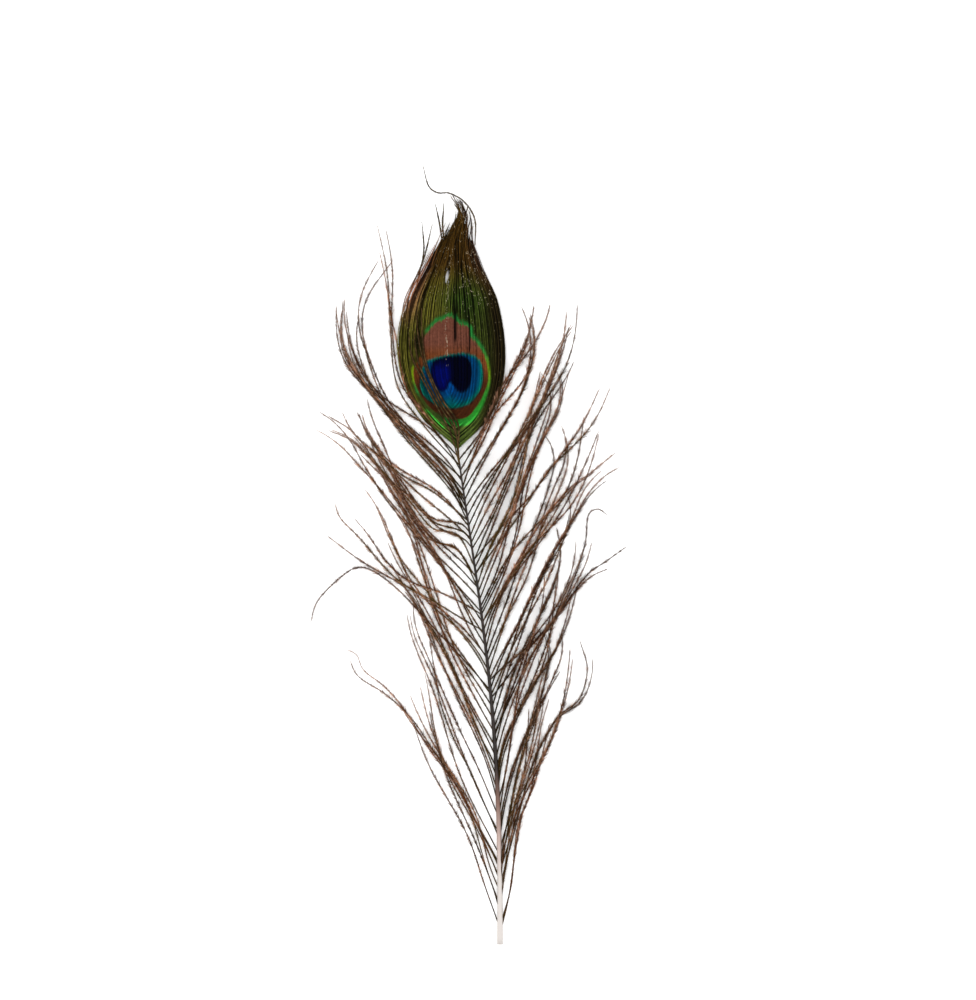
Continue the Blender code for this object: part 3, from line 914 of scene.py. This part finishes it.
def paint_over(settings):
    """The paint of the barbs that stray over the eye: a tan ramus between dark barbules."""
    def paint(barbs, shares, places, part, tone):
        mottle = barbs.at(barbs.mottle, shares)[..., 0]
        colour = mixed(settings.over, settings.over_ramus, 0.5 + 0.4 * mottle if part == "ramus" else 0.12)
        return colour * (0.8 + 0.4 * tone + 0.2 * mottle)[..., None]
    return paint


def pair_of(marks, gap):
    """Two barbs side by side along a line that starts at the shaft, this many millimetres apart."""
    line = apart_line(marks)
    away = gap / 2 * MM * ease(0, 0.3, np.linspace(0, 1, LINE_POINTS))
    crossed = 0.3 * MM * np.sin(np.linspace(0, 9, LINE_POINTS))
    for side in (-1, 1):
        barb = line.copy()
        barb[:, 0] += side * (away + crossed)
        yield evenly(barb[: LINE_POINTS - 6 * (side > 0)])


def strands_of(line, root, side, number, count, led=False):
    """The barbs that make up a lock: each has its own root on the shaft, and its tip strays a little.

    The first barb of a led lock follows the line to its end.
    """
    along = np.linspace(0, 1, LINE_POINTS)[:, None]
    out = np.cross(unit(np.gradient(line, axis=0)), (0, 0, 1.0))
    spacing = (LAST_ROOT - FIRST_ROOT) / LOCKS_A_SIDE
    for strand in range(count):
        place = strand - (count - 1) / 2
        keys = (number + 1.7, strand + 1, side + 3)
        strays = 0 if led and strand == 0 else 1
        stray = 2 * chance(*keys) - 1
        lift = chance(keys[1], keys[0], keys[2])
        off = 2 * chance(keys[0], keys[2], keys[1]) - 1
        own_root = np.array(shaft_point(max(0.004, root + (place + 0.3 * off) * spacing / count)))
        held = 1 - ease(0, 0.5, along)
        gathered = 1 - ease(0.6, 1.0, along) * (1 - strays)
        apart = side * -place * 0.7 * MM * ease(0.1, 0.5, along) * gathered
        stray_off = 6 * MM * stray * ease(0.4, 1.1, along)
        sway = 1.3 * MM * (2 * lift - 1) * np.sin(9 * along + 6 * stray) * ease(0, 0.4, along)
        bow = 2.2 * MM * off * np.sin(math.pi * np.minimum(1, 1.6 * along))
        barb = line + (own_root - line[0]) * held + out * (apart + strays * (stray_off + sway + bow))
        barb[:, 2] += (0.5 * MM * lift * np.sin(math.pi * along))[:, 0]
        reach = 0.86 + 0.14 * chance(keys[2], keys[1], keys[0]) if strays else 1
        yield evenly(barb[: max(8, int(reach * LINE_POINTS))])


def loose_lines(side):
    """The lines of one side's loose barbs, lock by lock."""
    lines = []
    for number in range(LOCKS_A_SIDE):
        up = (number + 0.5) / LOCKS_A_SIDE
        full = up > 0.8 if side < 0 else up > 0.45 or (up < 0.4 and number % 2)
        root = root_at(up_the_locks(side, number))
        line = route(loose_lock(side, number))
        if side < 0 and number in BENT_LEFT:
            root = BENT_LEFT[number][0] * MM
            line = apart_line(BENT_LEFT[number])
        lines += strands_of(line, root, side, number, 3 if full else 2)
    for number, (count, *marks) in enumerate(APART_LEFT if side < 0 else APART_RIGHT):
        lines += strands_of(apart_line(marks), marks[0] * MM, side, number + 30, count, led=True)
    return lines


def eye_line(side, number, barbs_a_side):
    """The line of a barb of the eye: it fans out from the shaft, follows the leaf and ends in the tuft."""
    share = (number + 0.5) / barbs_a_side
    across = SEAM_ACROSS + side * share * (0.985 - side * SEAM_ACROSS)
    across += 0.014 * (2 * chance(number, side + 3, 6) - 1)
    root_y = 0.2235 - 0.0265 * share**0.8
    fan = 0.003 + 0.002 * share
    end_y = 0.3015 - 0.013 * chance(number, side + 4, 2) - (0.010 if side > 0 else 0.016) * share
    y = np.linspace(root_y, end_y, 3 * LINE_POINTS)
    vane = eye_point(across, y)
    root = np.array(shaft_point(root_y))
    out = 1 - np.exp(-(y - root_y) / fan)
    line = vane.copy()
    line[:, 0] = root[0] + (vane[:, 0] - root[0]) * out
    for middle, low, high, gap in (*DARK_SPLITS, OPEN_SPLIT):
        x = line[:, 0] / MM - middle
        opened = gap * MM * between(low, low + 4, high, high + 6, y / MM)
        line[:, 0] += 0.5 * opened * np.tanh(x / 0.3) * np.exp(-np.abs(x) / 1.6)
    lifted = vane[:, 2] + 0.45 * MM + (0.2 + 0.25 * share) * MM * chance(number, side + 2, 5)
    line[:, 2] = root[2] + (lifted - root[2]) * ease(0, 0.4, out)
    loose = ease(0.258, 0.303, y)
    curl = 7.5 * ease(0.287, 0.3015, y) ** 1.5 * (0.4 + 0.6 * ease(-0.5, 0.5, across))
    line[:, 0] += tuft_lean(across, y) + loose * (3.5 * (chance(number, side + 9, 3) - 0.5) - curl) * MM
    line[:, 0] += loose * 0.8 * MM * np.sin(y / MM * 0.25 + 6 * chance(side + 6, number, 8))
    if side < 0 and share > 0.55:
        line[:, 0] += 0.9 * MM * (2 * chance(number, 4, 4) - 1) * between(0.245, 0.26, 0.27, 0.29, y)
    line[:, 2] += loose * (0.3 + 1.6 * chance(number, side + 7, 9)) * MM
    return evenly(line)


def paint_eye(settings, seed):
    """The paint of the eye's barbs: the zones of the eye, with each barb and barbule a little off."""
    def paint(barbs, shares, places, part, tone):
        random = np.random.default_rng(seed)
        count = len(barbs.lines)
        shift = random.normal(0, 0.3, (count, 1))
        light = np.where(np.arange(count) % 2, 0.5, -0.5)[:, None] + random.uniform(-0.6, 0.6, (count, 1))
        mottle = barbs.at(barbs.mottle, shares)[..., 0]
        streak = barbs.at(barbs.streak, shares)[..., 0]
        x, y = on_plan(places)
        outside = ease(1.0, 3.0, past_edge(x, y, BRONZE))
        water = 1 - ease(-0.2, 0.2, past_edge(x, y, IRIS))
        # How light each part is painted: the barbule tips darker than the barbules, most of all outside the
        # ring, as painted shade in the gaps between barbs; the ramus darker inside the ring and lighter
        # outside it
        dark = {"ramus": 0.72, "barbule": 1.0, "barbule_tip": 0.75}[part]
        dark_outside = {"ramus": 1.6, "barbule": 1.0, "barbule_tip": 0.4}[part]
        level = dark + (dark_outside - dark) * outside
        every_third = np.where(np.arange(count)[:, None] % 3, -0.45, 0.7) * (1 - ease(207, 217, y))
        unevenness = every_third * outside + (0.14 + 0.4 * water + 0.5 * outside) * light
        unevenness += (0.12 + 0.26 * outside) * streak + (0.08 + 0.2 * outside) * mottle
        level = level * (1 + unevenness)
        # painted shade: barbs beside the dark splits are painted nearly black
        level = level * (1 + (0.24 + 0.3 * outside) * (tone - 0.5)) * (1 - 0.94 * split_shade(x, y))
        shown = eye_colours(x, y, settings, shift) * np.maximum(level, 0.08)[..., None]
        seam = 1000 * eye_point(np.full(x.shape, SEAM_ACROSS), y * MM)[..., 0]
        along_seam = (np.abs(x - seam) < 0.45) & (mottle > -0.2) & (tone > 0.72) & (y > 231) & (y < 275)
        loosened = ease(3, 8, x - seam) * ease(250, 260, y)
        rare = 0.965 - 0.055 * loosened
        share = 0.3 + 0.35 * ease(254, 262, y) + 0.3 * loosened
        elsewhere = ease(rare, rare + 0.01, tone) * (mottle > 0) * outside * share
        speck = np.maximum(0.75 * along_seam, elsewhere) * (part != "ramus")
        return mixed(shown, settings.glint, speck)
    return paint


def build_web(settings):
    """The hooked barbules under the eye's barbs, as one thin closed sheet in the leaf's outline, painted dark
    as the shade under the barbs.
    """
    work = bmesh.new()
    bmesh.ops.create_grid(work, x_segments=WEB_COLUMNS, y_segments=WEB_ROWS, size=1)
    sheet = finished(work, "sheet")
    corners = corners_of(sheet)
    up = (corners[:, 1] + 1) / 2
    column = np.round((corners[:, 0] + 1) / 2 * WEB_COLUMNS).astype(int)
    ragged = np.array([chance(number, 3, 8) for number in range(WEB_COLUMNS + 1)])[column]
    top = WEB_TOP - 0.007 * ragged - 0.012 * corners[:, 0] ** 2
    y = WEB_BOTTOM + (top - WEB_BOTTOM) * up
    narrowed = 0.4 + 0.6 * ease(0, 0.1, up)
    left = 0.88 - 0.1 * ease(0.246, 0.262, y)
    across = SEAM_ACROSS + corners[:, 0] * np.where(corners[:, 0] < 0, left, 1.06) * narrowed
    places = eye_point(across, y)
    places[:, 0] += tuft_lean(across, y)
    places[:, 2] += 0.05 * MM + 0.12 * MM * np.cos(math.pi * corners[:, 0] * WEB_COLUMNS / 2)
    move_corners(sheet, places)
    work = bmesh.new()
    work.from_mesh(sheet)
    hole_x, hole_y, half_width, half_height = WEB_HOLE
    in_hole = []
    for face in work.faces:
        middle = face.calc_center_median() / MM
        if math.hypot((middle.x - hole_x) / half_width, (middle.y - hole_y) / half_height) < 1:
            in_hole.append(face)
    bmesh.ops.delete(work, geom=in_hole, context="FACES")

    def modify(holder):
        solid = holder.modifiers.new("thickness", "SOLIDIFY")
        solid.thickness = WEB_THICKNESS
        solid.offset = 0
    mesh = evaluated_copy(finished(work, "open_sheet"), modify)
    mesh.name = "eye_web"
    places = corners_of(mesh)
    x, y = on_plan(places)
    # painted shade: the web takes the eye's colours at 0.15 to 0.5 of their strength, darkest at the bottom
    # and in the splits, and darker again in the tuft
    shaded = (0.15 + 0.35 * ease(206, 214, y) - 0.2 * ease(246, 262, y)) * (1 - split_shade(x, y))
    colours = shaded[:, None] * eye_colours(x, y, settings)
    return finish_mesh("eye_web", mesh, places, colours, barb_material("eye_web", 0.5, 0.2, 0.05, 0.3))


class FEATHER_OT_add_shaft(bpy.types.Operator):
    """Adds the shaft, from its cut end up into the eye"""

    bl_idname = "feather.add_shaft"
    bl_label = "Add Shaft"

    def execute(self, context):
        settings = context.scene.feather_shaft
        rod = rod_mesh("shaft", SHAFT_SIDES, SHAFT_RINGS)
        corners = corners_of(rod)
        stations = corners[:, 1] * (SHAFT_LENGTH + SHAFT_OVERRUN)
        places = []
        for (x, _, z), y in zip(corners, stations):
            radius = shaft_radius(y) * (1 - 0.8 * ease(0.200, 0.228, y))
            sunk = Vector((0, 0, 0.75 * MM * ease(0.192, 0.206, y)))
            places.append(shaft_point(y) - sunk + Vector((x, 0, max(z, -SHAFT_FLAT_DEPTH))) * radius)
        places = np.array(places)
        places[:, 2] = np.maximum(places[:, 2], 0.01 * MM)
        move_corners(rod, places + row_place())
        rod.shade_smooth()
        rod.materials.append(horn_material(settings))
        add_piece("shaft", rod)
        return {"FINISHED"}


class FEATHER_OT_add_eye(bpy.types.Operator):
    """Adds the eye: its hooked web, and the barbs of each side up to the tuft"""

    bl_idname = "feather.add_eye"
    bl_label = "Add Eye"

    def execute(self, context):
        settings = context.scene.feather_eye
        material = barb_material("eye_barb", 0.42, 0.3, 0.02, 0.22)
        look = {
            "barbules": settings.barbules, "ramus": EYE_RAMUS, "length": settings.length,
            "width": settings.width, "angle": 34, "angle_spread": 5, "droop": -0.16, "droop_spread": 0.1,
            "flatness": 0.35, "ragged": 0.1, "first": 0.01, "last": 0.985, "roll": 0.12, "lowest": 0.2 * MM,
            "highest": HIGHEST, "profile": lambda barbs, shares: 1 - 0.5 * ease(0.82, 1.0, shares),
            "closed": closed_in_the_ring,
        }
        for side, word in ((-1, "left"), (1, "right")):
            lines = [eye_line(side, number, settings.barbs_a_side) for number in range(settings.barbs_a_side)]
            barbs = Barbs(lines, SEED + side)
            paint = paint_eye(settings, SEED + 10 + side)
            build_barbs(f"eye_barbs_{word}", barbs, look, paint, material)
        build_web(settings)
        return {"FINISHED"}


class FEATHER_OT_add_loose_barbs(bpy.types.Operator):
    """Adds the loose barbs of both sides, and those that stray over the eye"""

    bl_idname = "feather.add_loose_barbs"
    bl_label = "Add Loose Barbs"

    def execute(self, context):
        settings = context.scene.feather_barbs
        material = barb_material("loose_barb", 0.5, 0.0, 0.03, 0.35)
        look = {
            "barbules": settings.barbules, "ramus": settings.ramus, "length": settings.length,
            "width": settings.width, "angle": 30, "angle_spread": 10, "droop": -0.05, "droop_spread": 0.3,
            "flatness": 0.5, "ragged": 0.6, "first": 0.012, "last": 0.985, "roll": 0.7, "lowest": 0.03 * MM,
            "highest": HIGHEST, "profile": barb_profile, "closed": loose_everywhere,
        }
        for side, word, fullness, dimmed in ((-1, "left", 0.85, 1.0), (1, "right", 1.0, 0.8)):
            barbs = Barbs(loose_lines(side), SEED + 20 + side, fullness)
            paint = paint_loose(settings, SEED + 30 + side, dimmed)
            build_barbs(f"loose_barbs_{word}", barbs, look, paint, material)
        over = [*pair_of(ACROSS_THE_EYE, 1.7), *pair_of(UP_THE_EYE, 1.3)]
        fine = [route(np.array(marks) * MM) for marks in (TOP_WISP, *WISPS)]
        fullness = [0.72] * len(over) + [0.55] * len(fine)
        smooth = {**look, "angle": 22, "angle_spread": 5, "roll": 0.3, "ragged": 0.15}
        barbs = Barbs(over + fine, SEED + 25, fullness)
        build_barbs("stray_barbs", barbs, smooth, paint_over(settings), material)
        return {"FINISHED"}


class FEATHER_OT_add_stage(bpy.types.Operator):
    """Adds the pale floor, the soft lights and the camera that looks down on the feather"""

    bl_idname = "feather.add_stage"
    bl_label = "Add Stage"

    def execute(self, context):
        scene = context.scene
        settings = scene.feather_stage
        work = bmesh.new()
        bmesh.ops.create_grid(work, x_segments=1, y_segments=1, size=FLOOR_SIZE)
        floor = placed("floor", finished(work, "floor"))
        floor.data.materials.append(floor_material(settings.floor))

        for name, (place, size, share) in LAMPS.items():
            lamp = placed(name, bpy.data.lights.new(name, "AREA"))
            lamp.data.size = size
            lamp.data.energy = settings.light * share
            lamp.location = place
            lamp.rotation_euler = (-Vector(place)).to_track_quat("-Z", "Y").to_euler()

        world = bpy.data.worlds.new("pale_room")
        world.use_nodes = True
        wire(world.node_tree, world.node_tree.nodes["Background"],
             {"Color": (1, 1, 1, 1), "Strength": settings.sky})
        scene.world = world
        scene.view_settings.view_transform = "Standard"

        camera = placed("camera", bpy.data.cameras.new("camera"))
        camera.data.lens = CAMERA_LENS
        camera.data.sensor_width = CAMERA_SENSOR
        camera.data.clip_end = 20
        place = row_place() + np.array(PHOTO_CENTRE) * MM
        camera.location = (place[0], place[1], PHOTO_HEIGHT * CAMERA_LENS / CAMERA_SENSOR)
        scene.camera = camera
        return {"FINISHED"}


class FEATHER_PT_panel(bpy.types.Panel):
    """The feather's pieces and the stage, with what can be changed on each"""

    bl_idname = "FEATHER_PT_panel"
    bl_label = "Peacock Feather"
    bl_space_type = "VIEW_3D"
    bl_region_type = "UI"
    bl_category = "Feather"

    def draw(self, context):
        for name, (settings, operator) in PARTS.items():
            box = self.layout.box()
            for trait in settings.__annotations__:
                box.prop(getattr(context.scene, name), trait)
            box.operator(operator.bl_idname)


PARTS = {
    "feather_shaft": (ShaftSettings, FEATHER_OT_add_shaft),
    "feather_eye": (EyeSettings, FEATHER_OT_add_eye),
    "feather_barbs": (BarbSettings, FEATHER_OT_add_loose_barbs),
    "feather_stage": (StageSettings, FEATHER_OT_add_stage),
}
CLASSES = [kind for kinds in PARTS.values() for kind in kinds] + [FEATHER_PT_panel]


def register():
    for kind in CLASSES:
        bpy.utils.register_class(kind)
    for name, (settings, _) in PARTS.items():
        setattr(bpy.types.Scene, name, PointerProperty(type=settings))


def unregister():
    for name in PARTS:
        delattr(bpy.types.Scene, name)
    for kind in reversed(CLASSES):
        bpy.utils.unregister_class(kind)


def main():
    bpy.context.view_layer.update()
    register()
    bpy.ops.feather.add_shaft()
    bpy.ops.feather.add_eye()
    bpy.ops.feather.add_loose_barbs()
    bpy.ops.feather.add_stage()


if __name__ == "__main__":
    main()
